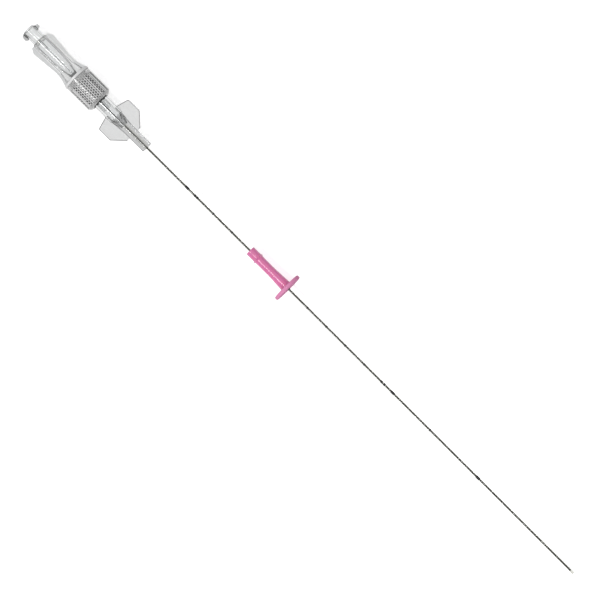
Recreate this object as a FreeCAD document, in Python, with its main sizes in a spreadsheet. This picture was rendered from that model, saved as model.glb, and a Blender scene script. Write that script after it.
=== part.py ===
import FreeCAD, Part
import os

import Sketcher

# A straight, thin catheter stiffened by a wire, lying on its side.
# Long axis along X, from the rear luer port towards the tip; wings flat in XY; +Z up.
# Each piece is drawn from its own rear end, and its placement slides it to its station.

SIZES = [
    ("luer_mouth_diameter", 4.33, "open end of a female cone"),
    ("luer_tip_diameter", 3.90, "small end of the male cone"),
    ("luer_taper", 0.06, "loss of diameter per unit of length"),
    ("luer_clearance", 0.02, "radial gap between the two cones"),
    ("lug_span", 7.8, "across a pair of lugs"),
    ("lug_foot", 2.3, "lug along the axis, at the barrel"),
    ("lug_crest", 1.2, "lug along the axis, at its outside"),
    ("lug_offset", 0.5, "mouth to the lug's foot"),
    ("lug_sweep", 60.0, "degrees that one lug covers"),
    ("thread_lead", 5.0, "travel for one turn of the collar"),
    ("thread_turns", 1.6, "turns of each of the two ridges"),
    ("ridge_foot", 0.9, "thread ridge along the axis, at the wall"),
    ("ridge_crest", 0.4, "thread ridge along the axis, at its inside"),
    ("ridge_height", 0.5, "thread ridge, wall to crest"),
    ("thread_clearance", 0.1, "gap between a lug's flank and the ridge before it"),
    ("port_length", 6.2, "rear port, mouth to shoulder"),
    ("port_diameter", 5.25, "rear port outside"),
    ("port_depth", 6.0, "rear luer socket"),
    ("spigot_length", 0.9, "plug that seats in the adaptor"),
    ("spigot_clearance", 0.04, "radial gap round the plug"),
    ("flush_hole_diameter", 0.7, "two passages beside the wire"),
    ("flush_hole_offset", 1.25, "axis to passage"),
    ("ferrule_length", 4.6, "crimped tube on the wire"),
    ("ferrule_diameter", 0.9, "crimped tube outside"),
    ("crimp_station", 3.3, "crimped tube's rear end to the crimp's middle"),
    ("crimp_depth", 0.06, "dent of the crimp"),
    ("crimp_width", 1.2, "length of the crimp"),
    ("wire_diameter", 0.4, "stiffening wire"),
    ("wire_setback", 1.5, "wire's end to the tube's tip"),
    ("bond_gap", 0.02, "radial glue line round a bonded piece"),
    ("barrel_length", 19.2, "adaptor, rear face to front flange"),
    ("barrel_diameter", 6.5, "adaptor barrel at its rear"),
    ("barrel_waist_diameter", 6.15, "adaptor barrel at its waist"),
    ("barrel_waist_start", 10.2, "rear face to the waist"),
    ("barrel_waist_end", 14.0, "rear face to the flare"),
    ("barrel_front_diameter", 8.5, "flare where it meets the flange"),
    ("front_flange_diameter", 11.5, "adaptor front flange"),
    ("front_flange_thickness", 1.0, "adaptor front flange"),
    ("chamber_diameter", 4.3, "adaptor inside, at the rear"),
    ("chamber_straight", 9.5, "straight stretch of the chamber"),
    ("chamber_end_diameter", 1.72, "chamber where the lumen starts"),
    ("chamber_knee", 14.4, "rear face to where the chamber narrows faster"),
    ("chamber_knee_diameter", 3.54, "chamber at that place"),
    ("lumen_diameter", 1.4, "passage through the male cone"),
    ("fin_half_width", 5.24, "axis to a fin's widest point"),
    ("fin_corner_length", 2.0, "slanted rear corner, along the axis"),
    ("fin_corner_drop", 1.1, "slanted rear corner, across"),
    ("fin_straight_end", 10.5, "rear face to the fin's hollow curve"),
    ("fin_waist_half_width", 4.47, "axis to the fin where the curve starts"),
    ("fin_curve", 15.7, "radius of the fin's hollow curve"),
    ("fin_front_half_width", 5.55, "axis to the fin at the flange"),
    ("fin_thickness", 1.1, "fin plate"),
    ("cone_reach", 16.1, "front flange to the male cone's tip"),
    ("cone_length", 7.7, "tapered stretch of a luer cone"),
    ("neck_diameter", 5.1, "collar's bearing"),
    ("bead_height", 0.4, "snap bead that keeps the collar on"),
    ("bead_width", 0.8, "snap bead"),
    ("collar_cover", 2.7, "collar's front past the catheter hub's mouth"),
    ("collar_diameter", 11.1, "lock collar over its ribs"),
    ("collar_wall", 1.3, "rear wall of the lock collar"),
    ("collar_gap", 0.1, "axial gap at each side of the rear wall"),
    ("collar_clearance", 0.08, "radial gap on the neck"),
    ("collar_bore", 8.0, "collar inside, at the thread's root"),
    ("collar_bevel", 1.0, "slanted front edge"),
    ("groove_depth", 0.25, "grip grooves"),
    ("groove_width", 0.8, "grip grooves, at the collar's outside"),
    ("groove_floor", 0.3, "grip grooves, at their floor"),
    ("groove_count", 28, "grip grooves"),
    ("groove_start", 1.8, "collar's rear face to the grooves"),
    ("hub_barrel_length", 11.1, "catheter hub, mouth to shoulder"),
    ("hub_diameter", 6.0, "catheter hub outside"),
    ("hub_socket_depth", 11.4, "catheter hub, cone's depth"),
    ("hub_funnel_length", 2.7, "socket floor to tube"),
    ("stem_diameter", 4.6, "hub stem inside the sleeve"),
    ("stem_end_diameter", 2.3, "hub stem at its front"),
    ("stem_length", 4.4, "hub stem, shoulder to front"),
    ("stem_straight", 0.5, "hub stem before its taper"),
    ("nose_length", 16.3, "soft sleeve, shoulder to front end"),
    ("nose_rear_diameter", 5.46, "soft sleeve at the shoulder"),
    ("nose_diameter", 4.3, "soft sleeve at its front"),
    ("nose_taper_length", 5.8, "soft sleeve's taper"),
    ("nose_bevel", 0.2, "soft sleeve's front edge"),
    ("wing_half_span", 7.93, "axis to a wing's tip"),
    ("wing_lead", 2.9, "wings reach back over the hub's barrel"),
    ("wing_rear_slant", 1.35, "wing's rear edge, along the axis"),
    ("wing_tip_length", 6.0, "wing's outer edge"),
    ("wing_front_reach", 9.2, "shoulder to the wings' front edge"),
    ("wing_front_half_width", 3.5, "axis to the wing's front corner"),
    ("wing_thickness", 0.9, "wing plate"),
    ("wing_corner", 0.7, "rounding of the wing's corners"),
    ("wing_rim", 0.22, "bevel of the wing's edges"),
    ("tube_diameter", 1.07, "catheter tube outside"),
    ("tube_bore", 0.6, "catheter tube inside"),
    ("tube_free_length", 225.2, "sleeve's front end to the tip"),
    ("tip_bevel", 0.12, "blunt tip's edge"),
    ("suture_station", 54.8, "sleeve's front end to the suture flange piece"),
    ("suture_length", 20.4, "suture flange piece"),
    ("suture_rear_diameter", 3.85, "its rear end"),
    ("suture_waist_diameter", 3.66, "its waist"),
    ("suture_waist_start", 6.0, "rear end to the waist"),
    ("suture_waist_end", 11.6, "rear end to where it widens"),
    ("suture_root_diameter", 4.4, "where it meets the disc"),
    ("suture_ring_diameter", 4.6, "small ring near the rear end"),
    ("suture_ring_station", 3.8, "rear end to the small ring"),
    ("suture_ring_width", 0.9, "small ring"),
    ("suture_disc_diameter", 12.1, "disc"),
    ("suture_disc_thickness", 1.4, "disc"),
    ("suture_disc_rim", 0.25, "slant of the disc's rim, across"),
    ("suture_disc_edge", 0.2, "slant of the disc's rim, along the axis"),
    ("suture_clearance", 0.05, "radial gap round the tube"),
    ("suture_lead_in", 0.35, "bevel at the rear of the bore"),
    ("edge_bevel", 0.15, "small bevel of moulded edges"),
]

# Depth to which a raised form is sunk into the wall that carries it.
ROOT = 0.15
# Overrun of a cut past the face where it starts or ends.
OVERRUN = 2.0


class Dim:
    """A size held as its number and as the sheet expression that gives it."""

    def __init__(self, value, text):
        self.value = value
        self.text = text

    def joined(self, sign, other, value):
        return Dim(value, f"({self.text} {sign} {other.text})")

    def __add__(self, other):
        other = as_dim(other)
        return self.joined("+", other, self.value + other.value)

    def __sub__(self, other):
        other = as_dim(other)
        return self.joined("-", other, self.value - other.value)

    def __mul__(self, other):
        other = as_dim(other)
        return self.joined("*", other, self.value * other.value)

    def __truediv__(self, other):
        other = as_dim(other)
        return self.joined("/", other, self.value / other.value)


def as_dim(number):
    return number if isinstance(number, Dim) else Dim(float(number), str(number))


ZERO = as_dim(0)

doc = FreeCAD.newDocument("Catheter")
sheet = doc.addObject("Spreadsheet::Sheet", "Sizes")
D = {}
for row, (alias, value, note) in enumerate(SIZES, start=1):
    sheet.set(f"A{row}", note)
    sheet.set(f"B{row}", str(value))
    sheet.setAlias(f"B{row}", alias)
    D[alias] = Dim(float(value), f"Sizes.{alias}")
doc.recompute()

# Stations along the axis, from the rear port's mouth.
adaptor_at = D["port_length"]
flange_front = adaptor_at + D["barrel_length"] + D["front_flange_thickness"]
collar_at = flange_front + D["collar_gap"]
cone_tip = flange_front + D["cone_reach"]
cone_overlap = (
    D["luer_mouth_diameter"] - D["luer_clearance"] * 2 - D["luer_tip_diameter"]
) / D["luer_taper"]
hub_at = cone_tip - cone_overlap
collar_length = hub_at + D["collar_cover"] - collar_at
shoulder = hub_at + D["hub_barrel_length"]
nose_front = shoulder + D["nose_length"]
tube_at = hub_at + D["hub_socket_depth"] + D["hub_funnel_length"]
tube_tip = nose_front + D["tube_free_length"]
suture_at = nose_front + D["suture_station"]
ferrule_at = D["port_depth"] + D["bond_gap"]
axis_height = D["suture_disc_diameter"] / 2


def new_body(label, station):
    """A body named for its piece, slid along the axis and lifted to the axis height."""
    body = doc.addObject("PartDesign::Body", label)
    body.Label = label
    body.setExpression(".Placement.Base.x", (station - tube_tip / 2).text)
    body.setExpression(".Placement.Base.z", axis_height.text)
    return body


def origin_part(body, role):
    return next(item for item in body.Origin.OriginFeatures if item.Role == role)


def arc_between(start, end, radius, side):
    """Arc of a radius from start to end; it bulges to the left of the way when side is 1."""
    chord = end - start
    half = chord.Length / 2
    sagitta = radius - (radius**2 - half**2) ** 0.5
    left = FreeCAD.Vector(-chord.y, chord.x, 0).normalize()
    return Part.Arc(start, (start + end) / 2 + left * (sagitta * side), end)


def outline(body, name, role, corners):
    """Closed sketch whose corners are bound to the sheet.

    A corner is (across, up), or (across, up, radius, side) where an arc leaves it.
    """
    sketch = body.newObject("Sketcher::SketchObject", name)
    sketch.AttachmentSupport = (origin_part(body, role), "")
    sketch.MapMode = "FlatFace"
    corners = [tuple(as_dim(c) for c in corner[:3]) + corner[3:] for corner in corners]
    places = [FreeCAD.Vector(c[0].value, c[1].value, 0) for c in corners]
    starts, ends = [], []
    for index, corner in enumerate(corners):
        here, there = places[index], places[(index + 1) % len(places)]
        if len(corner) == 2:
            sketch.addGeometry(Part.LineSegment(here, there))
        else:
            sketch.addGeometry(arc_between(here, there, corner[2].value, corner[3]))
        forwards = sketch.getPoint(index, 1).isEqual(here, 1e-6)
        starts.append(1 if forwards else 2)
        ends.append(2 if forwards else 1)
    rules, bound = [], {}
    for index, corner in enumerate(corners):
        after = (index + 1) % len(corners)
        rules.append(Sketcher.Constraint("Coincident", index, ends[index], after, starts[after]))
        for kind, axis, size in (("DistanceX", -2, corner[0]), ("DistanceY", -1, corner[1])):
            if abs(size.value) < 1e-9:
                rules.append(Sketcher.Constraint("PointOnObject", index, starts[index], axis))
            else:
                bound[len(rules)] = size
                rules.append(Sketcher.Constraint(kind, -1, 1, index, starts[index], size.value))
        if len(corner) > 2:
            bound[len(rules)] = corner[2]
            rules.append(Sketcher.Constraint("Radius", index, corner[2].value))
    sketch.addConstraint(rules)
    for number, size in bound.items():
        sketch.renameConstraint(number, f"size{number}")
        sketch.setExpression(f"Constraints.size{number}", size.text)
    return sketch


def turned(body, name, corners, kind="PartDesign::Revolution"):
    """Ring swept round the long axis from corners of (along, radius)."""
    sketch = outline(body, f"{name}_profile", "XZ_Plane", corners)
    feature = body.newObject(kind, name)
    feature.Profile = sketch
    feature.ReferenceAxis = (sketch, ["H_Axis"])
    feature.Angle = 360
    return feature


def bored(body, name, corners):
    """Hollow turned out of a body, which has to remove something."""
    doc.recompute()
    before = body.Shape.Volume
    turned(body, name, corners, "PartDesign::Groove")
    doc.recompute()
    if body.Shape.Volume > before - 1e-6:
        raise RuntimeError(f"{body.Label}: {name} removed nothing")


def plate(body, name, corners, thickness):
    """Flat plate in the wings' plane, drawn on one side of the axis and mirrored."""
    sketch = outline(body, f"{name}_outline", "XY_Plane", corners)
    pad = body.newObject("PartDesign::Pad", name)
    pad.Profile = sketch
    pad.Midplane = True
    pad.setExpression("Length", thickness.text)
    mirror = body.newObject("PartDesign::Mirrored", f"{name}_mirror")
    mirror.Originals = [pad]
    mirror.MirrorPlane = (origin_part(body, "XZ_Plane"), [""])
    body.Tip = mirror


def spread(body, name, feature, count):
    """Copies of a feature, evenly round the long axis."""
    pattern = body.newObject("PartDesign::PolarPattern", name)
    pattern.Originals = [feature]
    pattern.Axis = (origin_part(body, "X_Axis"), [""])
    pattern.Angle = 360
    pattern.setExpression("Occurrences", as_dim(count).text)
    body.Tip = pattern


def coiled(body, name, corners, turns, start_angle):
    """Two right-hand ridges, half a turn apart, whose section starts at an angle from +Y."""
    sketch = outline(body, f"{name}_profile", "XY_Plane", corners)
    tilt = FreeCAD.Rotation(FreeCAD.Vector(1, 0, 0), start_angle)
    sketch.AttachmentOffset = FreeCAD.Placement(FreeCAD.Vector(), tilt)
    ridge = body.newObject("PartDesign::AdditiveHelix", name)
    ridge.Profile = sketch
    ridge.ReferenceAxis = (sketch, ["H_Axis"])
    ridge.Mode = "pitch-height-angle"
    ridge.setExpression("Pitch", D["thread_lead"].text)
    ridge.setExpression("Height", (D["thread_lead"] * turns).text)
    doc.recompute()
    spread(body, f"{name}_pair", ridge, 2)


def eased(body, name, size, chosen, kind="Chamfer"):
    """Chamfer or fillet on the edges that a test picks from the body so far."""
    doc.recompute()
    base = body.Tip
    names = [f"Edge{n}" for n, edge in enumerate(base.Shape.Edges, start=1) if chosen(edge)]
    feature = body.newObject(f"PartDesign::{kind}", name)
    feature.Base = (base, names)
    feature.setExpression("Radius" if kind == "Fillet" else "Size", size.text)


def ring_at(along, radius):
    """Test for the circular edge at a station and radius of the piece."""

    def chosen(edge):
        middle = edge.BoundBox.Center
        same_station = edge.BoundBox.XLength < 1e-6 and abs(middle.x - along.value) < 1e-4
        return same_station and abs(edge.BoundBox.ZMax - radius.value) < 1e-3

    return chosen


def lugs(body, barrel_diameter):
    """Pair of lugs at a luer mouth, each a piece of the thread that the collar runs on."""
    half_sweep = D["lug_sweep"] / 2
    back = D["thread_lead"] * half_sweep / 360
    middle = D["lug_offset"] + D["lug_foot"] / 2 - back
    foot, crest = D["lug_foot"] / 2, D["lug_crest"] / 2
    low, high = barrel_diameter / 2 - ROOT, D["lug_span"] / 2
    corners = [
        (middle - foot, low),
        (middle + foot, low),
        (middle + crest, high),
        (middle - crest, high),
    ]
    coiled(body, "lug", corners, D["lug_sweep"] / 360, -half_sweep.value)


def stylet_hub():
    """Rear luer port: socket with lugs behind, short plug with the wire's seat in front."""
    body = new_body("stylet_hub", ZERO)
    outer, plug = D["port_diameter"] / 2, D["chamber_diameter"] / 2 - D["spigot_clearance"]
    plug_end = D["port_length"] + D["spigot_length"]
    turned(body, "port", [(0, 0), (0, outer), (D["port_length"], outer),
                          (D["port_length"], plug), (plug_end, plug), (plug_end, 0)])
    eased(body, "port_edge", D["edge_bevel"], ring_at(ZERO, outer))
    lugs(body, D["port_diameter"])
    mouth = D["luer_mouth_diameter"] / 2
    floor = mouth - D["port_depth"] * D["luer_taper"] / 2
    bored(body, "socket", [(0, 0), (0, mouth), (D["port_depth"], floor), (D["port_depth"], 0)])
    seat = D["ferrule_diameter"] / 2 + D["bond_gap"]
    seat_end = plug_end + OVERRUN
    bored(body, "wire_seat", [(D["port_depth"] / 2, 0), (D["port_depth"] / 2, seat),
                              (seat_end, seat), (seat_end, 0)])
    sketch = body.newObject("Sketcher::SketchObject", "flush_circle")
    sketch.AttachmentSupport = (origin_part(body, "YZ_Plane"), "")
    sketch.MapMode = "FlatFace"
    middle = FreeCAD.Vector(0, D["flush_hole_offset"].value, 0)
    radius = D["flush_hole_diameter"] / 2
    sketch.addGeometry(Part.Circle(middle, FreeCAD.Vector(0, 0, 1), radius.value))
    sketch.addConstraint([
        Sketcher.Constraint("PointOnObject", 0, 3, -2),
        Sketcher.Constraint("DistanceY", -1, 1, 0, 3, middle.y),
        Sketcher.Constraint("Radius", 0, radius.value),
    ])
    for number, size in ((1, D["flush_hole_offset"]), (2, radius)):
        sketch.renameConstraint(number, f"size{number}")
        sketch.setExpression(f"Constraints.size{number}", size.text)
    hole = body.newObject("PartDesign::Pocket", "flush_hole")
    hole.Profile = sketch
    hole.Reversed = True
    hole.setExpression("Length", seat_end.text)
    doc.recompute()
    spread(body, "flush_holes", hole, 2)


def wire_ferrule():
    """Short steel tube crimped on the wire's rear end and bonded in the plug."""
    body = new_body("wire_ferrule", ferrule_at)
    outer, bore = D["ferrule_diameter"] / 2, D["wire_diameter"] / 2 + D["bond_gap"]
    dent = outer - D["crimp_depth"]
    length = D["ferrule_length"]
    middle, half = D["crimp_station"], D["crimp_width"] / 2
    turned(body, "ferrule", [
        (0, bore), (0, outer), (middle - half, outer), (middle - half / 2, dent),
        (middle + half / 2, dent), (middle + half, outer), (length, outer), (length, bore),
    ])


def stylet_wire():
    """Stiffening wire from the ferrule to just short of the tube's tip, its end rounded."""
    body = new_body("stylet_wire", ferrule_at)
    radius = D["wire_diameter"] / 2
    length = tube_tip - D["wire_setback"] - ferrule_at
    turned(body, "wire", [(0, 0), (0, radius), (length - radius, radius), (length, 0)])


def adaptor():
    """Clear winged barrel with its front flange, the collar's bearing and the male cone."""
    body = new_body("adaptor", adaptor_at)
    flange_rear = D["barrel_length"]
    front = flange_rear + D["front_flange_thickness"]
    barrel, waist = D["barrel_diameter"] / 2, D["barrel_waist_diameter"] / 2
    rim, neck = D["front_flange_diameter"] / 2, D["neck_diameter"] / 2
    bead_at = front + D["collar_gap"] * 2 + D["collar_wall"]
    bead_end = bead_at + D["bead_width"]
    bead_top = neck + D["bead_height"]
    tip, tip_radius = front + D["cone_reach"], D["luer_tip_diameter"] / 2
    cone_root = tip_radius + D["cone_length"] * D["luer_taper"] / 2
    turned(body, "barrel", [
        (0, 0), (0, barrel),
        (D["barrel_waist_start"], waist), (D["barrel_waist_end"], waist),
        (flange_rear, D["barrel_front_diameter"] / 2), (flange_rear, rim),
        (front, rim), (front, neck), (bead_at, neck),
        (bead_at, bead_top), (bead_end, bead_top), (bead_end, cone_root),
        (tip - D["cone_length"], cone_root), (tip, tip_radius), (tip, 0),
    ])
    plate(body, "fin", [
        (0, 0), (0, D["fin_half_width"] - D["fin_corner_drop"]),
        (D["fin_corner_length"], D["fin_half_width"]),
        (D["fin_straight_end"], D["fin_waist_half_width"], D["fin_curve"], -1),
        (flange_rear, D["fin_front_half_width"]), (flange_rear, 0),
    ], D["fin_thickness"])
    chamber, narrow = D["chamber_diameter"] / 2, D["chamber_end_diameter"] / 2
    lumen = D["lumen_diameter"] / 2
    bored(body, "chamber", [
        (0, 0), (0, chamber), (D["chamber_straight"], chamber),
        (D["chamber_knee"], D["chamber_knee_diameter"] / 2),
        (flange_rear, narrow), (flange_rear + 1, lumen),
        (tip + OVERRUN, lumen), (tip + OVERRUN, 0),
    ])
    eased(body, "flange_rear_edge", D["edge_bevel"], ring_at(flange_rear, rim))
    eased(body, "flange_front_edge", D["edge_bevel"], ring_at(front, rim))


def lock_collar():
    """Ribbed collar that turns on the adaptor's neck, with the two-start thread inside."""
    body = new_body("lock_collar", collar_at)
    length, outer = collar_length, D["collar_diameter"] / 2
    hole = D["neck_diameter"] / 2 + D["collar_clearance"]
    root, crest = D["collar_bore"] / 2, D["collar_bore"] / 2 - D["ridge_height"]
    turned(body, "shell", [
        (0, hole), (0, outer), (length - D["collar_bevel"], outer),
        (length, outer - D["collar_bevel"]), (length, root),
        (D["collar_wall"], root), (D["collar_wall"], hole),
    ])
    mid_height = D["ridge_height"] * 0.4
    lug_slope = (D["lug_foot"] - D["lug_crest"]) / (D["lug_span"] / 2 - D["hub_diameter"] / 2)
    lug_half = (D["lug_crest"] + lug_slope * (D["lug_span"] / 2 - crest - mid_height)) / 2
    ridge_slope = (D["ridge_foot"] - D["ridge_crest"]) / D["ridge_height"]
    ridge_half = (D["ridge_crest"] + ridge_slope * mid_height) / 2
    lug_middle = hub_at + D["lug_offset"] + D["lug_foot"] / 2
    ahead = lug_half + ridge_half + D["thread_clearance"]
    middle = lug_middle + ahead - D["thread_lead"] * 1.5 - collar_at
    foot, top = D["ridge_foot"] / 2, D["ridge_crest"] / 2
    coiled(body, "thread", [
        (middle - foot, root + ROOT), (middle + foot, root + ROOT),
        (middle + foot, root), (middle + top, crest),
        (middle - top, crest), (middle - foot, root),
    ], D["thread_turns"], 0)
    past = length + OVERRUN
    bored(body, "front_face", [(length, crest / 2), (length, outer + 1),
                               (past, outer + 1), (past, crest / 2)])
    half_floor, half_mouth = D["groove_floor"] / 2, D["groove_width"] / 2
    floor = outer - D["groove_depth"]
    sketch = outline(body, "grip_section", "YZ_Plane", [
        (half_floor, floor), (half_mouth, outer), (half_mouth, outer + OVERRUN),
        (ZERO - half_mouth, outer + OVERRUN), (ZERO - half_mouth, outer),
        (ZERO - half_floor, floor),
    ])
    sketch.setExpression(".AttachmentOffset.Base.z", D["groove_start"].text)
    groove = body.newObject("PartDesign::Pocket", "grip_groove")
    groove.Profile = sketch
    groove.Reversed = True
    groove_run = length - D["collar_bevel"] - D["groove_start"]
    groove.setExpression("Length", groove_run.text)
    doc.recompute()
    spread(body, "grip_grooves", groove, D["groove_count"])


def hub_outline(gap):
    """Hub stem inside the sleeve, from the shoulder on, grown by a gap."""
    straight, end = D["stem_straight"], D["stem_length"]
    return [
        (D["hub_barrel_length"] + straight, D["stem_diameter"] / 2 + gap),
        (D["hub_barrel_length"] + end, D["stem_end_diameter"] / 2 + gap),
    ]


def catheter_hub():
    """Clear hub: female cone with lugs, funnel to the tube, and a stem for the sleeve."""
    body = new_body("catheter_hub", hub_at)
    outer, stem = D["hub_diameter"] / 2, D["stem_diameter"] / 2
    barrel_end = D["hub_barrel_length"]
    stem_end = barrel_end + D["stem_length"]
    turned(body, "barrel", [
        (0, 0), (0, outer), (barrel_end, outer), (barrel_end, stem),
        *hub_outline(0), (stem_end, 0),
    ])
    lugs(body, D["hub_diameter"])
    mouth = D["luer_mouth_diameter"] / 2
    cone_length, depth = D["cone_length"], D["hub_socket_depth"]
    tube_seat = D["tube_diameter"] / 2 + D["bond_gap"]
    floor = mouth - cone_length * D["luer_taper"] / 2
    funnel_end = depth + D["hub_funnel_length"]
    passage = D["tube_bore"] / 2
    bored(body, "socket", [(0, 0), (0, mouth), (cone_length, floor), (depth, floor),
                           (funnel_end, passage), (funnel_end, 0)])
    past = stem_end + OVERRUN
    bored(body, "tube_seat", [(funnel_end, 0), (funnel_end, tube_seat),
                              (past, tube_seat), (past, 0)])


def wing_sleeve():
    """Soft sleeve moulded over the hub's stem: two flat wings and the strain-relief nose."""
    body = new_body("wing_sleeve", hub_at)
    start = D["hub_barrel_length"] + D["bond_gap"]
    front = D["hub_barrel_length"] + D["nose_length"]
    rear_radius, radius = D["nose_rear_diameter"] / 2, D["nose_diameter"] / 2
    turned(body, "nose", [
        (start, 0), (start, rear_radius),
        (D["hub_barrel_length"] + D["nose_taper_length"], radius), (front, radius), (front, 0),
    ])
    wing_rear = D["hub_barrel_length"] - D["wing_lead"]
    tip_start = wing_rear + D["wing_rear_slant"]
    wing_front = D["hub_barrel_length"] + D["wing_front_reach"]
    span = D["wing_half_span"]
    root = D["hub_diameter"] / 2
    plate(body, "wing", [
        (wing_rear, 0), (wing_rear, root), (tip_start, span),
        (tip_start + D["wing_tip_length"], span),
        (wing_front, D["wing_front_half_width"]), (wing_front, 0),
    ], D["wing_thickness"])
    outside = root + ROOT

    def at_wing_corner(edge):
        box = edge.BoundBox
        upright = box.XLength < 1e-6 and box.YLength < 1e-6
        return upright and abs(box.Center.y) > outside.value

    def at_wing_rim(edge):
        box = edge.BoundBox
        return box.ZLength < 1e-6 and box.YLength + box.XLength > 1e-6 and (
            abs(abs(box.Center.z) - D["wing_thickness"].value / 2) < 1e-6
            and max(abs(box.YMin), abs(box.YMax)) > outside.value
            and min(abs(box.YMin), abs(box.YMax)) > radius.value
        )

    eased(body, "wing_corners", D["wing_corner"], at_wing_corner, "Fillet")
    eased(body, "wing_rims", D["wing_rim"], at_wing_rim)
    eased(body, "nose_edge", D["nose_bevel"], ring_at(front, radius))
    gap, past = D["bond_gap"], front + OVERRUN
    stem = D["stem_diameter"] / 2 + gap
    tube_hole = D["tube_diameter"] / 2 + gap
    stem_end = D["hub_barrel_length"] + D["stem_length"] + gap
    bored(body, "hub_room", [
        (0, 0), (0, root + gap), (start, root + gap), (start, stem),
        *hub_outline(gap), (stem_end, D["stem_end_diameter"] / 2 + gap),
        (stem_end, tube_hole), (past, tube_hole), (past, 0),
    ])


def catheter_tube():
    """Clear thin-walled tube with an open, blunt tip."""
    body = new_body("catheter_tube", tube_at + D["bond_gap"])
    length = tube_tip - tube_at - D["bond_gap"]
    outer, bore = D["tube_diameter"] / 2, D["tube_bore"] / 2
    turned(body, "tube", [(0, bore), (0, outer), (length, outer), (length, bore)])
    eased(body, "tip_edge", D["tip_bevel"], ring_at(length, outer))


def suture_flange():
    """Flange piece that slides on the tube: tapered sleeve, small ring and round disc."""
    body = new_body("suture_flange", suture_at)
    rear, waist = D["suture_rear_diameter"] / 2, D["suture_waist_diameter"] / 2
    root, disc = D["suture_root_diameter"] / 2, D["suture_disc_diameter"] / 2
    length, ring_at_x = D["suture_length"], D["suture_ring_station"]
    disc_rear = length - D["suture_disc_thickness"]
    ring_end = ring_at_x + D["suture_ring_width"]
    inside, slant = disc - D["suture_disc_rim"], D["suture_disc_edge"]
    turned(body, "sleeve", [
        (0, 0), (0, rear), (ring_at_x, rear),
        (ring_at_x + D["suture_ring_width"] / 2, D["suture_ring_diameter"] / 2),
        (ring_end, rear), (D["suture_waist_start"], waist), (D["suture_waist_end"], waist),
        (disc_rear, root), (disc_rear, inside), (disc_rear + slant, disc),
        (length - slant, disc), (length, inside), (length, 0),
    ])
    bore = D["tube_diameter"] / 2 + D["suture_clearance"]
    lead, past = D["suture_lead_in"], length + OVERRUN
    bored(body, "bore", [(0, 0), (0, bore + lead), (lead, bore), (past, bore), (past, 0)])


stylet_hub()
wire_ferrule()
stylet_wire()
adaptor()
lock_collar()
catheter_hub()
wing_sleeve()
catheter_tube()
suture_flange()
doc.recompute()

for item in doc.Objects:
    if "Invalid" in item.State or "Error" in item.State:
        raise RuntimeError(f"{item.Label} is {item.State}")
pieces = [item for item in doc.Objects if item.TypeId == "PartDesign::Body"]
for piece in pieces:
    shape = piece.Shape
    if shape.isNull() or not shape.isValid() or len(shape.Solids) != 1:
        raise RuntimeError(f"{piece.Label} isn't one valid solid")
os.makedirs("parts", exist_ok=True)
for piece in pieces:
    piece.Shape.exportStep(f"parts/{piece.Label}.step")
    box = piece.Shape.BoundBox
    print(f"{piece.Label}: {piece.Shape.Volume:.2f} mm3, x {box.XMin:.2f} to {box.XMax:.2f},"
          f" y {box.YMin:.2f} to {box.YMax:.2f}, z {box.ZMin:.2f} to {box.ZMax:.2f}")
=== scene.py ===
import math

import bpy
from mathutils import Matrix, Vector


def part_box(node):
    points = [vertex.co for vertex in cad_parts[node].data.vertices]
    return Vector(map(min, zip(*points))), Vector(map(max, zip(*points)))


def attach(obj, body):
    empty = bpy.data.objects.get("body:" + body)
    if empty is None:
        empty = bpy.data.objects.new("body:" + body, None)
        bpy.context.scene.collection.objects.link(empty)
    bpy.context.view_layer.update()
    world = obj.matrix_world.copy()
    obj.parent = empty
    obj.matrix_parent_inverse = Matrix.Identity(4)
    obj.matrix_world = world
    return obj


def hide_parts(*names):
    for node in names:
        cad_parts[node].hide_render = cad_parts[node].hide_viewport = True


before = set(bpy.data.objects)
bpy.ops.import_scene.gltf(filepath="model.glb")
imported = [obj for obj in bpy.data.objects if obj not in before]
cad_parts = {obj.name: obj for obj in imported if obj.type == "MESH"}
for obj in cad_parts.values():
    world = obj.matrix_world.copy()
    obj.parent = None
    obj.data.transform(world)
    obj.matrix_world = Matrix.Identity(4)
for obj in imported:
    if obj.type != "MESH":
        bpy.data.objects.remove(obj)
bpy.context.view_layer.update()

# Stiffening wire and its ferrule: drawn stainless spring wire, bare and bright where a crimped
# steel ferrule holds it in the rear port, and coated dark grey-green, so that it slides, from
# inside the collar to its tip.
MM = 0.001
BARE_LENGTH_MM, WELD_MM = 28.28, 0.001
# angles in degrees
SHARP_EDGE, WIRE_SHARP_EDGE, FERRULE_SHARP_EDGE = 28, 40, 24
wire_low, wire_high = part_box("stylet_wire")
axis_height = (wire_low.z + wire_high.z) / 2


def linear(hex_colour):
    """Linear colour of an sRGB hex value."""
    parts = [int(hex_colour[i:i + 2], 16) / 255 for i in (1, 3, 5)]
    return [p / 12.92 if p <= 0.04045 else ((p + 0.055) / 1.055) ** 2.4 for p in parts] + [1.0]


def add_node(tree, kind, inputs=None, **settings):
    """Adds a node, sets its options, and fills its inputs with values or with other outputs."""
    node = tree.nodes.new(kind)
    for name, value in settings.items():
        setattr(node, name, value)
    for name, value in (inputs or {}).items():
        if isinstance(value, bpy.types.NodeSocket):
            tree.links.new(value, node.inputs[name])
        else:
            node.inputs[name].default_value = value
    return node


def new_material(name):
    """Node material with an empty tree, for the shader that follows."""
    material = bpy.data.materials.new(name)
    material.use_nodes = True
    material.node_tree.nodes.clear()
    return material, material.node_tree


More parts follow.
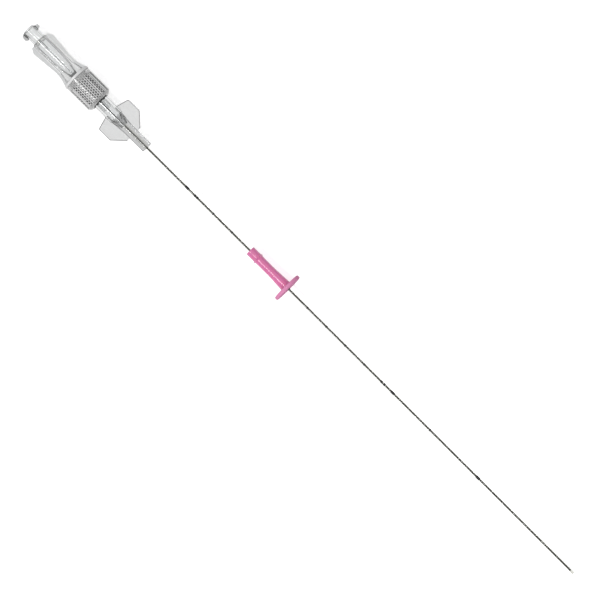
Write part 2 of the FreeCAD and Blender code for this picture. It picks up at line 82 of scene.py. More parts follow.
def grained(tree, grain_mm, low, high, drawn_mm=None, detail=2.0):
    """Noise with grains of a real size, drawn out along the axis where a length is given, and a
    colour that wanders with it between two tones."""
    across, along = 1 / (grain_mm * MM), 1 / ((drawn_mm or grain_mm) * MM)
    place = add_node(tree, "ShaderNodeTexCoord")
    sized = add_node(tree, "ShaderNodeMapping", {"Vector": place.outputs["Object"],
                                                 "Scale": (along, across, across)})
    noise = add_node(tree, "ShaderNodeTexNoise", {"Vector": sized.outputs["Vector"],
                                                  "Scale": 1.0, "Detail": detail})
    tint = add_node(tree, "ShaderNodeMixRGB", {"Fac": noise.outputs["Fac"],
                                               "Color1": linear(low), "Color2": linear(high)})
    return noise.outputs["Fac"], tint.outputs["Color"]


def skin_of(node_name, piece_name, body, sharp_edge=SHARP_EDGE):
    """One joined skin copied from a CAD node, smooth except at edges sharper than the angle."""
    bpy.ops.object.select_all(action="DESELECT")
    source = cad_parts[node_name]
    piece = bpy.data.objects.new(piece_name, source.data.copy())
    bpy.context.scene.collection.objects.link(piece)
    piece.select_set(True)
    bpy.context.view_layer.objects.active = piece
    bpy.ops.object.mode_set(mode="EDIT")
    bpy.ops.mesh.select_all(action="SELECT")
    bpy.ops.mesh.remove_doubles(threshold=WELD_MM * MM)
    bpy.ops.object.mode_set(mode="OBJECT")
    bpy.ops.mesh.customdata_custom_splitnormals_clear()
    bpy.ops.object.shade_smooth_by_angle(angle=math.radians(sharp_edge))
    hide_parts(node_name)
    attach(piece, body)
    return piece


def finish_with(piece, slot, *materials):
    """Gives a piece its materials; the slot argument is not used."""
    piece.data.materials.clear()
    for material in materials:
        piece.data.materials.append(material)


# stainless steel, drawn: the die leaves fine lines along the wire and a bright, streaky shine;
# the lines are wider than real ones, so that they show
DRAW_LINE_MM, DRAW_LENGTH_MM = 0.111, 16.7
steel, tree = new_material("drawn_stainless_steel")
draw_lines, shade = grained(tree, DRAW_LINE_MM, "#DADBDD", "#EEEFF0", DRAW_LENGTH_MM)
dull = add_node(tree, "ShaderNodeMapRange", {"Value": draw_lines, "To Min": 0.2, "To Max": 0.36})
metal = add_node(tree, "ShaderNodeBsdfPrincipled", {
    "Base Color": shade, "Roughness": dull.outputs["Result"], "Metallic": 1.0})
add_node(tree, "ShaderNodeOutputMaterial", {"Surface": metal.outputs["BSDF"]})

# fluoropolymer, sprayed and baked: a thin satin film, a little uneven in tone where it pooled
POOL_MM = 0.6
coat, tree = new_material("fluoropolymer_coat")
pools, tone = grained(tree, POOL_MM, "#181A17", "#2C2F2A")
film = add_node(tree, "ShaderNodeMapRange", {"Value": pools, "To Min": 0.34, "To Max": 0.46})
lacquer = add_node(tree, "ShaderNodeBsdfPrincipled", {
    "Base Color": tone, "Roughness": film.outputs["Result"], "IOR": 1.38})
add_node(tree, "ShaderNodeOutputMaterial", {"Surface": lacquer.outputs["BSDF"]})

coat_start = wire_low.x + BARE_LENGTH_MM * MM
wire = skin_of("stylet_wire", "stiffening_wire", "stylet", WIRE_SHARP_EDGE)
bpy.ops.object.mode_set(mode="EDIT")
bpy.ops.mesh.select_all(action="SELECT")
bpy.ops.mesh.bisect(plane_co=(coat_start, 0, 0), plane_no=(1, 0, 0))
bpy.ops.object.mode_set(mode="OBJECT")
finish_with(wire, "steel", steel, coat)
for face in wire.data.polygons:
    face.material_index = face.center.x > coat_start
ferrule = skin_of("wire_ferrule", "crimped_ferrule", "stylet", FERRULE_SHARP_EDGE)
finish_with(ferrule, "steel", steel)

# Rear luer port: clear injection-moulded polycarbonate, a female luer cone with a pair of
# lugs behind and a short plug in front, into which the ferrule is bonded.
LUGS_LENGTH_MM, LIP_LENGTH_MM, PLUG_RADIUS_MM = 3.2, 0.4, 2.13
FLANGE_BEHIND_COLLAR_MM, FLANGE_HALF_MM = 0.6, 0.56
port_rear, port_front = (corner.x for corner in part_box("stylet_hub"))
adaptor_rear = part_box("adaptor")[0].x
collar_rear, collar_front = (corner.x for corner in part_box("lock_collar"))
lugs_end = port_rear + LUGS_LENGTH_MM * MM
lip_end = port_rear + LIP_LENGTH_MM * MM
flange_middle = collar_rear - FLANGE_BEHIND_COLLAR_MM * MM

# polycarbonate, moulded: clear and glossy, with the faint waviness that the melt leaves as it
# flows into the mould, and a faint grey body; fins, lugs and the front flange carry a fine
# spark-eroded texture for grip, which turns the lugs, the port's lip and the flange misty; the
# texture is coarser than a real one, so that it shows
FLOW_WAVES_MM, FLOW_DEPTH_MM, SPARK_TEXTURE_MM = 2.5, 0.004, 0.3
FINS_PAST_MM, LUGS_PAST_MM, BORDER_MM = 3.3, 2.75, 0.1
TEXTURED_CLARITY, CLARITY_LOST_TO_MIST, LIP_MIST = 0.88, 0.76, 0.6
# painted edge shade: the dark grey mixed into the tint where a surface turns from the eye
PAINTED_EDGE_SHADE, PAINTED_EDGE_START, PAINTED_EDGE_FULL = "#4A4B4B", 0.45, 0.8


def painted_edge_shade_weight(tree, start, full):
    """How far a surface turns from the eye, 0 at start and 1 at full. A thick moulded wall bends
    light sideways there, so its edges draw dark; this weight sets where painted edge shade darkens
    the tint."""
    weight = add_node(tree, "ShaderNodeLayerWeight", {"Blend": 0.5})
    edge = add_node(tree, "ShaderNodeMapRange", {"Value": weight.outputs["Facing"],
                                                 "From Min": start, "From Max": full})
    return edge.outputs["Result"]


clear, tree = new_material("moulded_polycarbonate")
place = add_node(tree, "ShaderNodeTexCoord")
flow = add_node(tree, "ShaderNodeTexNoise", {"Vector": place.outputs["Object"],
                                             "Scale": 1 / (FLOW_WAVES_MM * MM), "Detail": 1.0})
sparks, grey = grained(tree, SPARK_TEXTURE_MM, "#CFD0D0", "#F0F1F1")

# where the texture is: outside the round barrel or port, and on the front flange
parts = add_node(tree, "ShaderNodeSeparateXYZ", {"Vector": place.outputs["Object"]})
aside = add_node(tree, "ShaderNodeMath", {0: parts.outputs["Y"]}, operation="ABSOLUTE")
limit = add_node(tree, "ShaderNodeMapRange", {
    "Value": parts.outputs["X"], "From Min": lugs_end, "From Max": lugs_end + BORDER_MM * MM,
    "To Min": LUGS_PAST_MM * MM, "To Max": FINS_PAST_MM * MM})
past = add_node(tree, "ShaderNodeMath", {0: aside.outputs[0], 1: limit.outputs["Result"]},
                operation="SUBTRACT")
outer = add_node(tree, "ShaderNodeMapRange", {"Value": past.outputs[0], "From Max": BORDER_MM * MM})
rim = add_node(tree, "ShaderNodeMath", {0: parts.outputs["X"], 1: flange_middle,
                                        2: FLANGE_HALF_MM * MM}, operation="COMPARE")
textured = add_node(tree, "ShaderNodeMath", {0: outer.outputs["Result"], 1: rim.outputs[0]},
                    operation="MAXIMUM")
gloss = add_node(tree, "ShaderNodeMapRange", {"Value": flow.outputs["Fac"],
                                              "To Min": 0.02, "To Max": 0.07})
matt = add_node(tree, "ShaderNodeMapRange", {"Value": sparks, "To Min": 0.22, "To Max": 0.4})
rough = add_node(tree, "ShaderNodeMixRGB", {"Fac": textured.outputs[0],
                                            "Color1": gloss.outputs["Result"],
                                            "Color2": matt.outputs["Result"]})
fins_or_rim = add_node(tree, "ShaderNodeMixRGB", {"Fac": rim.outputs[0], "Color1": grey,
                                                  "Color2": linear("#FAFAFA")})
tint = add_node(tree, "ShaderNodeMixRGB", {"Fac": textured.outputs[0], "Color1": linear("#F2F3F3"),
                                           "Color2": fins_or_rim.outputs["Color"]})

# painted edge shade: the tint turns dark grey at the edges, but not on the textured faces and the
# port's rearmost stretch
rearmost = add_node(tree, "ShaderNodeMapRange", {
    "Value": parts.outputs["X"], "From Min": lugs_end, "From Max": lugs_end + BORDER_MM * MM,
    "To Min": 1.0, "To Max": 0.0})
no_painted_edge = add_node(tree, "ShaderNodeMath", {0: rearmost.outputs["Result"], 1: textured.outputs[0]},
                   operation="MAXIMUM")
bare = add_node(tree, "ShaderNodeMath", {0: painted_edge_shade_weight(tree, PAINTED_EDGE_START, PAINTED_EDGE_FULL),
                                         1: no_painted_edge.outputs[0]},
                operation="SUBTRACT", use_clamp=True)
painted_edge_tint = add_node(tree, "ShaderNodeMixRGB", {"Fac": bare.outputs[0], "Color1": tint.outputs["Color"],
                                            "Color2": linear(PAINTED_EDGE_SHADE)})

# mist on the lugs and the flange, and a lighter one on the lip
clarity = add_node(tree, "ShaderNodeMapRange", {"Value": textured.outputs[0],
                                                "To Min": 1.0, "To Max": TEXTURED_CLARITY})
lug = add_node(tree, "ShaderNodeMath", {0: rearmost.outputs["Result"], 1: outer.outputs["Result"]},
               operation="MULTIPLY")
lip = add_node(tree, "ShaderNodeMapRange", {
    "Value": parts.outputs["X"], "From Min": lip_end - BORDER_MM * MM, "From Max": lip_end,
    "To Min": LIP_MIST, "To Max": 0.0})
lug_or_lip = add_node(tree, "ShaderNodeMath", {0: lug.outputs[0], 1: lip.outputs["Result"]},
                      operation="MAXIMUM")
mist = add_node(tree, "ShaderNodeMath", {0: rim.outputs[0], 1: lug_or_lip.outputs[0]},
                operation="MAXIMUM")
misty = add_node(tree, "ShaderNodeMath", {0: mist.outputs[0], 1: -CLARITY_LOST_TO_MIST,
                                          2: clarity.outputs["Result"]}, operation="MULTIPLY_ADD")
waves = add_node(tree, "ShaderNodeBump", {"Height": flow.outputs["Fac"], "Strength": 1.0,
                                          "Distance": FLOW_DEPTH_MM * MM})
resin = add_node(tree, "ShaderNodeBsdfPrincipled", {
    "Base Color": painted_edge_tint.outputs["Color"], "Roughness": rough.outputs["Color"], "IOR": 1.58,
    "Transmission Weight": misty.outputs[0], "Normal": waves.outputs["Normal"]})
depth = add_node(tree, "ShaderNodeVolumeAbsorption", {"Color": linear("#8E8E8E"), "Density": 35.0})
add_node(tree, "ShaderNodeOutputMaterial", {"Surface": resin.outputs["BSDF"],
                                            "Volume": depth.outputs["Volume"]})

# a clear wall, wetted by glue or lubricant of nearly its own index, which hardly bends light
STREAK_MM = 0.8
wetted, tree = new_material("wetted_wall")
_, tint = grained(tree, STREAK_MM, "#F2F2EE", "#FAFAF8")
resin = add_node(tree, "ShaderNodeBsdfPrincipled", {
    "Base Color": tint, "Roughness": 0.05, "IOR": 1.03, "Transmission Weight": 1.0})
add_node(tree, "ShaderNodeOutputMaterial", {"Surface": resin.outputs["BSDF"]})

SEAT_SLACK_MM, SEAT_BEHIND_MM, SEAT_AHEAD_MM = 0.06, 0.15, 0.1
seat_from = adaptor_rear - SEAT_BEHIND_MM * MM
seat_to = port_front + SEAT_AHEAD_MM * MM


def off_axis(face):
    """Distance of a face's middle from the object's long axis."""
    return math.hypot(face.center.y, face.center.z - axis_height)


def wet_the_seat(piece):
    """Gives the wetted finish to the faces along the plug and along the bore round it."""
    for face in piece.data.polygons:
        on_wall = abs(off_axis(face) - PLUG_RADIUS_MM * MM) < SEAT_SLACK_MM * MM
        face.material_index = on_wall and seat_from < face.center.x < seat_to


rear_port = skin_of("stylet_hub", "rear_luer_port", "stylet")
finish_with(rear_port, "clear_plastic", clear, wetted)
wet_the_seat(rear_port)

# Adaptor: one clear polycarbonate moulding, a barrel with two thumb fins and a front
# flange; its male luer cone reaches forwards through the lock collar into the catheter hub.
adaptor = skin_of("adaptor", "winged_adaptor", "adaptor")
finish_with(adaptor, "clear_plastic", clear, wetted)
wet_the_seat(adaptor)

# Lock collar: translucent polypropylene, moulded with a two-start thread inside and grip
# ribs outside, and snapped over the adaptor's neck so that it turns there.
REAR_BAND_MM, FRONT_EDGE_MM, COLLAR_ROOT_MM, RIB_RADIUS_MM = 1.9, 0.8, 4.3, 5.4
ribs_from = collar_rear + REAR_BAND_MM * MM
ribs_to = collar_front - FRONT_EDGE_MM * MM

# polypropylene, moulded: milky; between the plain rear band and the slanted front edge the ribs
# carry painted light and shade in short dashes, near-black, grey and white, for the light and dark
# that the thread behind the thin wall and the grooves make where they cross; the mould's grain is
# coarser than a real one, so that it shows
DASH_MM, DASH_PITCH_MM, DASH_FADE_MM = 1.15, 0.85, 0.5
GRAIN_MM, GRAIN_DEPTH_MM = 0.3, 0.006
frosted, tree = new_material("translucent_polypropylene")
place = add_node(tree, "ShaderNodeTexCoord")
parts = add_node(tree, "ShaderNodeSeparateXYZ", {"Vector": place.outputs["Object"]})

# the painted light and shade dashes are laid in millimetres on the collar's unrolled wall
above = add_node(tree, "ShaderNodeMath", {0: parts.outputs["Z"], 1: axis_height},
                 operation="SUBTRACT")
turn = add_node(tree, "ShaderNodeMath", {0: parts.outputs["Y"], 1: above.outputs[0]},
                operation="ARCTAN2")
around = add_node(tree, "ShaderNodeMath", {0: turn.outputs[0], 1: RIB_RADIUS_MM},
                  operation="MULTIPLY")
along = add_node(tree, "ShaderNodeMath", {0: parts.outputs["X"], 1: MM}, operation="DIVIDE")
unrolled = add_node(tree, "ShaderNodeCombineXYZ", {"X": along.outputs[0], "Y": around.outputs[0]})
painted_light_dashes = add_node(tree, "ShaderNodeTexBrick", {
    "Vector": unrolled.outputs["Vector"], "Scale": 1.0, "Brick Width": DASH_MM,
    "Row Height": DASH_PITCH_MM, "Color1": linear("#1A1A1A"), "Color2": linear("#8C8C8C"),
    "Mortar": linear("#FFFFFF"), "Mortar Size": 0.2, "Mortar Smooth": 0.3, "Bias": 0.0})
starts = add_node(tree, "ShaderNodeMapRange", {
    "Value": parts.outputs["X"], "From Min": ribs_from, "From Max": ribs_from + DASH_FADE_MM * MM})
ends = add_node(tree, "ShaderNodeMapRange", {
    "Value": parts.outputs["X"], "From Min": ribs_to, "From Max": ribs_to - DASH_FADE_MM * MM})
ribbed = add_node(tree, "ShaderNodeMath", {0: starts.outputs["Result"], 1: ends.outputs["Result"]},
                  operation="MINIMUM")
tint = add_node(tree, "ShaderNodeMixRGB", {"Fac": ribbed.outputs[0], "Color1": linear("#D2D2D2"),
                                           "Color2": painted_light_dashes.outputs["Color"]})
# the painted light and shade dashes also set how much light passes through the wall
pass_on = add_node(tree, "ShaderNodeMapRange", {"Value": painted_light_dashes.outputs["Fac"],
                                                "To Min": 0.6, "To Max": 0.2})
grain = add_node(tree, "ShaderNodeTexNoise", {"Vector": place.outputs["Object"],
                                              "Scale": 1 / (GRAIN_MM * MM)})
satin = add_node(tree, "ShaderNodeMapRange", {"Value": grain.outputs["Fac"],
                                              "To Min": 0.1, "To Max": 0.2})
bumps = add_node(tree, "ShaderNodeBump", {"Height": grain.outputs["Fac"], "Strength": 0.5,
                                          "Distance": GRAIN_DEPTH_MM * MM})
resin = add_node(tree, "ShaderNodeBsdfPrincipled", {
    "Base Color": tint.outputs["Color"], "Roughness": satin.outputs["Result"], "IOR": 1.49,
    "Transmission Weight": pass_on.outputs["Result"], "Specular IOR Level": 0.8,
    "Coat Weight": 1.0, "Coat Roughness": 0.08, "Normal": bumps.outputs["Normal"]})
add_node(tree, "ShaderNodeOutputMaterial", {"Surface": resin.outputs["BSDF"]})

# polypropylene again, but off a polished core pin: the thread is smoother than the ribbed outside
THREAD_FLOW_MM = 1.2
inside, tree = new_material("glossy_polypropylene_thread")
_, tint = grained(tree, THREAD_FLOW_MM, "#F6F6F6", "#FFFFFF")
resin = add_node(tree, "ShaderNodeBsdfPrincipled", {
    "Base Color": tint, "Roughness": 0.12, "IOR": 1.49, "Transmission Weight": 0.4})
add_node(tree, "ShaderNodeOutputMaterial", {"Surface": resin.outputs["BSDF"]})

collar = skin_of("lock_collar", "lock_collar_skin", "collar")
finish_with(collar, "frosted_plastic", frosted, inside)
for face in collar.data.polygons:
    face.material_index = off_axis(face) < COLLAR_ROOT_MM * MM

# Catheter hub: clear polycarbonate female luer hub with its own lugs; its funnel narrows
# to the tube, which is bonded in.
hub = skin_of("catheter_hub", "clear_luer_hub", "catheter")
finish_with(hub, "clear_plastic", clear)

# Wing sleeve: soft translucent silicone moulded over the hub's front, two thin flat wings to
# stitch or tape down and a nose that keeps the tube from kinking.
TUBE_HOLE_MM, WING_ROOT_MM, WING_ROOT_FADE_MM = 0.62, 3.2, 0.3
FRONT_BORDER_MM, FRONT_FADE_MM = 0.1, 0.05
# a face looks straight along a direction when this much of its normal points there
FLAT_ON = 0.9
sleeve_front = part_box("wing_sleeve")[1].x
front_border = sleeve_front - FRONT_BORDER_MM * MM

# silicone, moulded soft: slightly hazy and satin, with the faint unevenness of a soft moulding
HAZE_MM, DENT_DEPTH_MM = 0.8, 0.003
# where the painted edge shade starts and where it is full on the nose
NOSE_PAINTED_EDGE_START, NOSE_PAINTED_EDGE_FULL = 0.35, 0.75
soft, tree = new_material("soft_translucent_silicone")
haze, tint = grained(tree, HAZE_MM, "#EEEFEF", "#F9F9F9")

# painted edge shade on the round nose only, not on the flat wings or the nose's front face
place = add_node(tree, "ShaderNodeTexCoord")
parts = add_node(tree, "ShaderNodeSeparateXYZ", {"Vector": place.outputs["Object"]})
aside = add_node(tree, "ShaderNodeMath", {0: parts.outputs["Y"]}, operation="ABSOLUTE")
nose = add_node(tree, "ShaderNodeMapRange", {
    "Value": aside.outputs[0], "From Min": (WING_ROOT_MM - WING_ROOT_FADE_MM) * MM,
    "From Max": WING_ROOT_MM * MM, "To Min": 1.0, "To Max": 0.0})
front = add_node(tree, "ShaderNodeMapRange", {
    "Value": parts.outputs["X"], "From Min": front_border,
    "From Max": front_border + FRONT_FADE_MM * MM, "To Min": 1.0, "To Max": 0.0})
on_nose = add_node(tree, "ShaderNodeMath", {0: nose.outputs["Result"], 1: front.outputs["Result"]},
                   operation="MINIMUM")
nose_painted_edge = add_node(tree, "ShaderNodeMath", {
    0: painted_edge_shade_weight(tree, NOSE_PAINTED_EDGE_START, NOSE_PAINTED_EDGE_FULL), 1: on_nose.outputs[0]},
    operation="MULTIPLY")
painted_edge_tint = add_node(tree, "ShaderNodeMixRGB", {"Fac": nose_painted_edge.outputs[0], "Color1": tint,
                                            "Color2": linear(PAINTED_EDGE_SHADE)})
dents = add_node(tree, "ShaderNodeBump", {"Height": haze, "Strength": 0.5,
                                          "Distance": DENT_DEPTH_MM * MM})
resin = add_node(tree, "ShaderNodeBsdfPrincipled", {
    "Base Color": painted_edge_tint.outputs["Color"], "Roughness": 0.08, "IOR": 1.53,
    "Transmission Weight": 0.85, "Normal": dents.outputs["Normal"]})
depth = add_node(tree, "ShaderNodeVolumeAbsorption", {"Color": linear("#8A8A8A"),
                                                      "Density": 110.0})
add_node(tree, "ShaderNodeOutputMaterial", {"Surface": resin.outputs["BSDF"],
                                            "Volume": depth.outputs["Volume"]})

# silicone at the wings' outline, where the mould's halves part: rough, and painted dark grey, a
# painted shade for the dark line that the rounded rim draws; the nicks are coarser than real ones,
# so that they show
NICKS_MM = 0.3
painted_rim_shade, tree = new_material("silicone_painted_rim_shade")
_, tint = grained(tree, NICKS_MM, "#5E5E5E", "#868686")
resin = add_node(tree, "ShaderNodeBsdfPrincipled", {
    "Base Color": tint, "Roughness": 0.4, "IOR": 1.53, "Transmission Weight": 0.4})
add_node(tree, "ShaderNodeOutputMaterial", {"Surface": resin.outputs["BSDF"]})

PAINTED_RIM_SLOT, WETTED_SLOT = 1, 2
wings = skin_of("wing_sleeve", "soft_wing_sleeve", "catheter")
finish_with(wings, "soft_sleeve", soft, painted_rim_shade, wetted)
# the wings' outline takes the painted rim shade
for face in wings.data.polygons:
    if off_axis(face) < TUBE_HOLE_MM * MM:
        face.material_index = WETTED_SLOT
    elif abs(face.center.y) > WING_ROOT_MM * MM and abs(face.normal.z) < FLAT_ON:
        face.material_index = PAINTED_RIM_SLOT

# Catheter tube: extruded clear polyurethane with black depth rings printed round it, a
# ring each 10 mm and heavier ones that are told at a glance; its open tip is blunt.
SIDES, BORE_RADIUS_MM, TIP_BEVEL_MM, TIP_CORNER = 48, 0.3, 0.14, 0.3
tube_low, tube_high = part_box("catheter_tube")
tip, tube_radius = tube_high.x, (tube_high.z - tube_low.z) / 2
bore_radius, tip_bevel = BORE_RADIUS_MM * MM, TIP_BEVEL_MM * MM
tip_corner = tip_bevel * TIP_CORNER

# printed rings as (distance from the tip, width), in millimetres, as they lie in the photo
FINE, SLIM, PAIRED, HEAVY = 0.45, 0.7, 0.8, 1.7
RING_STEP, FIRST_OF_ROW, ROW_END = 10, 110, 200
rings = [(50.2, HEAVY), (75.3, FINE), (95.1, HEAVY), (99.4, PAIRED), (100.8, PAIRED)]
rings += [(distance, FINE) for distance in range(FIRST_OF_ROW, ROW_END, RING_STEP)]
rings += [(198.4, SLIM), (199.5, SLIM), (203.9, HEAVY)]


def turned(name, stations):
    """Ring pulled along the axis through stations of (x, radius), closed back on its start."""
    bpy.ops.object.select_all(action="DESELECT")
    x, radius = stations[0]
    bpy.ops.mesh.primitive_circle_add(vertices=SIDES, radius=radius, location=(x, 0, axis_height),
                                      rotation=(0, math.pi / 2, 0))
    piece = bpy.context.active_object
    piece.name = name
    bpy.ops.object.transform_apply(location=True, rotation=True, scale=True)
    bpy.ops.object.mode_set(mode="EDIT")
    bpy.ops.mesh.select_all(action="SELECT")
    for next_x, next_radius in stations[1:] + stations[:1]:
        bpy.ops.mesh.extrude_region_move(TRANSFORM_OT_translate={"value": (next_x - x, 0, 0)})
        grow = next_radius / radius
        if grow != 1:
            bpy.ops.transform.resize(value=(1, grow, grow),
                                     center_override=(next_x, 0, axis_height))
        x, radius = next_x, next_radius
    bpy.ops.mesh.select_all(action="SELECT")
    bpy.ops.mesh.remove_doubles(threshold=WELD_MM * MM)
    bpy.ops.mesh.normals_make_consistent(inside=False)
    bpy.ops.object.mode_set(mode="OBJECT")
    return piece


ring_edges = sorted(tip - (distance + side * width / 2) * MM
                    for distance, width in rings for side in (-1, 1))
outer_wall = [(edge, tube_radius) for edge in [tube_low.x, sleeve_front, *ring_edges]]
outer_wall += [(tip - tip_bevel, tube_radius), (tip - tip_corner, tube_radius - tip_corner),
               (tip, tube_radius - tip_bevel)]
tube = turned("catheter_tube_skin", outer_wall + [(tip, bore_radius), (tube_low.x, bore_radius)])
bpy.ops.object.shade_smooth_by_angle(angle=math.radians(SHARP_EDGE))
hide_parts("catheter_tube")
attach(tube, "catheter")

# polyurethane, extruded: clear with a faint grey-green cast, and die lines along its length,
# which are wider than real ones, so that they show
DIE_LINE_MM, DIE_LENGTH_MM = 0.167, 25.0
extruded, tree = new_material("extruded_polyurethane")
_, tint = grained(tree, DIE_LINE_MM, "#E4E5DF", "#EFEFEB", DIE_LENGTH_MM)
resin = add_node(tree, "ShaderNodeBsdfPrincipled", {
    "Base Color": tint, "Roughness": 0.1, "IOR": 1.5, "Transmission Weight": 0.98})
add_node(tree, "ShaderNodeOutputMaterial", {"Surface": resin.outputs["BSDF"]})

# ink, pad-printed: thin and slightly uneven, satin where it dried; its patches are larger than
# real ones, so that they show
INK_PATCH_MM = 0.3
ink, tree = new_material("black_print_ink")
_, tone = grained(tree, INK_PATCH_MM, "#0E0E0F", "#232324")
print_skin = add_node(tree, "ShaderNodeBsdfPrincipled", {"Base Color": tone, "Roughness": 0.42})
add_node(tree, "ShaderNodeOutputMaterial", {"Surface": print_skin.outputs["BSDF"]})

finish_with(tube, "clear_tube", extruded, ink, wetted)
for face in tube.data.polygons:
    in_bore = off_axis(face) < (tube_radius + bore_radius) / 2 and abs(face.normal.x) < FLAT_ON
    if in_bore or face.center.x < sleeve_front:
        face.material_index = WETTED_SLOT
    else:
        # the ink comes after the clear plastic, so a ring's face takes slot 1
        face.material_index = any(abs(tip - face.center.x - distance * MM) < width / 2 * MM
                                  for distance, width in rings)

# Suture flange: pink moulded plastic sleeve that slides on the tube, with a small ring
# near its rear end and a round disc in front, which is stitched or taped to the skin.
DISC_RIM_MM, FLANGE_SHARP_EDGE = 5.4, 24

# pink plastic, moulded: satin, with a fine mould grain, and light sinks in a little; the grain
# is coarser than a real one, so that it shows
PINK_GRAIN_MM, PINK_DEPTH_MM, PINK_SINK_MM = 0.25, 0.006, 0.5
pink, tree = new_material("pink_moulded_plastic")
mould_grain, tint = grained(tree, PINK_GRAIN_MM, "#E674AD", "#F891C4")
satin = add_node(tree, "ShaderNodeMapRange", {"Value": mould_grain, "To Min": 0.12, "To Max": 0.2})
bumps = add_node(tree, "ShaderNodeBump", {"Height": mould_grain, "Strength": 0.5,
                                          "Distance": PINK_DEPTH_MM * MM})
resin = add_node(tree, "ShaderNodeBsdfPrincipled", {
    "Base Color": tint, "Roughness": satin.outputs["Result"], "IOR": 1.5,
    "Specular IOR Level": 0.8, "Subsurface Weight": 0.1, "Subsurface Scale": PINK_SINK_MM * MM,
    "Normal": bumps.outputs["Normal"]})
add_node(tree, "ShaderNodeOutputMaterial", {"Surface": resin.outputs["BSDF"]})

# the same plastic, spark-eroded: a dull texture on the disc's rim and on the front face that
# rests on the skin, which doesn't mirror the table; drawn coarser than it is, so that it shows
PITS_MM, PITS_DEPTH_MM = 0.4, 0.02
matt_pink, tree = new_material("pink_spark_textured")
pits, tint = grained(tree, PITS_MM, "#EA8CBC", "#F8A6D0", detail=3.0)
dull = add_node(tree, "ShaderNodeMapRange", {"Value": pits, "To Min": 0.6, "To Max": 0.8})
bumps = add_node(tree, "ShaderNodeBump", {"Height": pits, "Strength": 0.6,
                                          "Distance": PITS_DEPTH_MM * MM})
resin = add_node(tree, "ShaderNodeBsdfPrincipled", {
    "Base Color": tint, "Roughness": dull.outputs["Result"], "IOR": 1.5,
    "Specular IOR Level": 0.25, "Normal": bumps.outputs["Normal"]})
add_node(tree, "ShaderNodeOutputMaterial", {"Surface": resin.outputs["BSDF"]})

flange = skin_of("suture_flange", "pink_suture_flange", "suture_flange", FLANGE_SHARP_EDGE)
finish_with(flange, "pink_plastic", pink, matt_pink)
for face in flange.data.polygons:
    face.material_index = face.normal.x > FLAT_ON or off_axis(face) > DISC_RIM_MM * MM

# Table, light and camera: white sheet on a table, one long soft lamp overhead with the
# room's plain light round it, and the camera almost straight above.
TABLE_SIZE, CAMERA_LIFT = 4.0, 0.65
bpy.ops.object.select_all(action="DESELECT")
bpy.ops.mesh.primitive_plane_add(size=TABLE_SIZE, location=(0, 0, 0))
floor = bpy.context.active_object
floor.name = "white_table"

# paper, calendered: plain matt white; a lift that only the camera sees makes it pure white, and
# it still takes the object's shadow
paper, tree = new_material("white_paper")
sight = add_node(tree, "ShaderNodeLightPath")
lift = add_node(tree, "ShaderNodeMath", {0: sight.outputs["Is Camera Ray"], 1: CAMERA_LIFT},
                operation="MULTIPLY")
sheet = add_node(tree, "ShaderNodeBsdfPrincipled", {
    "Base Color": linear("#FAFAFA"), "Roughness": 0.9, "Emission Color": linear("#FFFFFF"),
    "Emission Strength": lift.outputs[0]})
# through clear plastic and in its shine the table shows as the plain white that the camera sees
through = add_node(tree, "ShaderNodeEmission", {"Color": linear("#FFFFFF"), "Strength": 1.0})
by_plastic = add_node(tree, "ShaderNodeMath", {0: sight.outputs["Is Transmission Ray"],
                                               1: sight.outputs["Is Glossy Ray"]},
                      operation="MAXIMUM")
both = add_node(tree, "ShaderNodeMixShader", {0: by_plastic.outputs[0], 1: sheet.outputs["BSDF"],
                                              2: through.outputs["Emission"]})
add_node(tree, "ShaderNodeOutputMaterial", {"Surface": both.outputs["Shader"]})
floor.data.materials.append(paper)

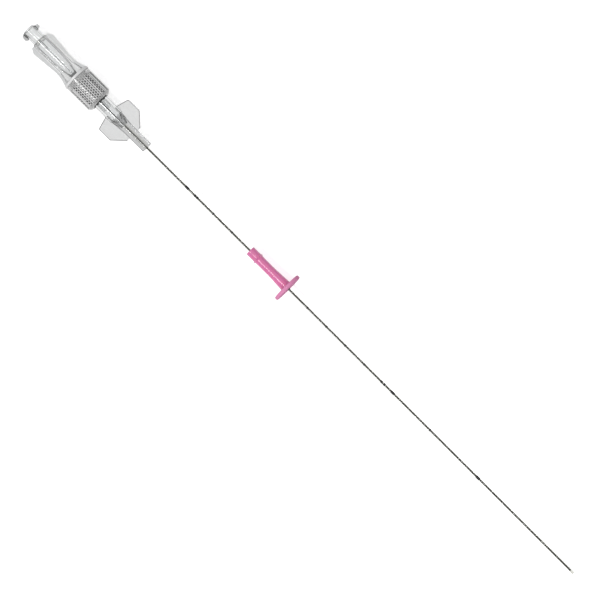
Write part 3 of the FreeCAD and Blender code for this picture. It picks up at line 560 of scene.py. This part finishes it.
LAMP_WATTS, LAMP_LENGTH, LAMP_WIDTH, LAMP_PLACE = 7.2, 1.2, 0.14, (0, -0.45, 1.1)
lamp_data = bpy.data.lights.new("overhead_lamp", "AREA")
lamp_data.shape, lamp_data.size, lamp_data.size_y = "RECTANGLE", LAMP_LENGTH, LAMP_WIDTH
lamp_data.energy = LAMP_WATTS
lamp = bpy.data.objects.new("overhead_lamp", lamp_data)
bpy.context.scene.collection.objects.link(lamp)
lamp.location = LAMP_PLACE
lamp.rotation_euler = (-lamp.location).to_track_quat("-Z", "Y").to_euler()

# the room: light from above, greyer towards the horizon, so that clear edges draw dark
ROOM_LOW, ROOM_HIGH, GREY_BELOW, LIGHT_ABOVE = "#666666", "#B8B8B8", 0.05, 0.8
room = bpy.data.worlds.new("room")
bpy.context.scene.world = room
room.use_nodes = True
tree = room.node_tree
tree.nodes.clear()
direction = add_node(tree, "ShaderNodeTexCoord")
parts = add_node(tree, "ShaderNodeSeparateXYZ", {"Vector": direction.outputs["Object"]})
height = add_node(tree, "ShaderNodeMapRange", {"Value": parts.outputs["Z"],
                                               "From Min": GREY_BELOW, "From Max": LIGHT_ABOVE})
air = add_node(tree, "ShaderNodeMixRGB", {"Fac": height.outputs["Result"],
                                          "Color1": linear(ROOM_LOW), "Color2": linear(ROOM_HIGH)})
sky = add_node(tree, "ShaderNodeBackground", {"Color": air.outputs["Color"], "Strength": 1.0})
add_node(tree, "ShaderNodeOutputWorld", {"Surface": sky.outputs["Background"]})

# the camera looks down; the axis runs to the picture's lower right (angles in degrees)
FIELD_WIDTH_MM, LENS_MM, SENSOR_MM = 224.55, 200.0, 36.0
AXIS_TURN, TOWARDS_TIP, CENTRE_X_MM, CENTRE_Y_MM = 44.94, 2.7, 0.22, 0.11
camera_distance = FIELD_WIDTH_MM * LENS_MM / SENSOR_MM * MM
camera_data = bpy.data.cameras.new("overhead_camera")
camera_data.lens, camera_data.sensor_width = LENS_MM, SENSOR_MM
camera = bpy.data.objects.new("overhead_camera", camera_data)
bpy.context.scene.collection.objects.link(camera)
camera.matrix_world = (
    Matrix.Translation((CENTRE_X_MM * MM, CENTRE_Y_MM * MM, axis_height))
    @ Matrix.Rotation(math.radians(TOWARDS_TIP), 4, "Y")
    @ Matrix.Rotation(math.radians(AXIS_TURN), 4, "Z")
    @ Matrix.Translation((0, 0, camera_distance))
)
bpy.context.scene.camera = camera
bpy.context.scene.view_settings.view_transform = "Standard"
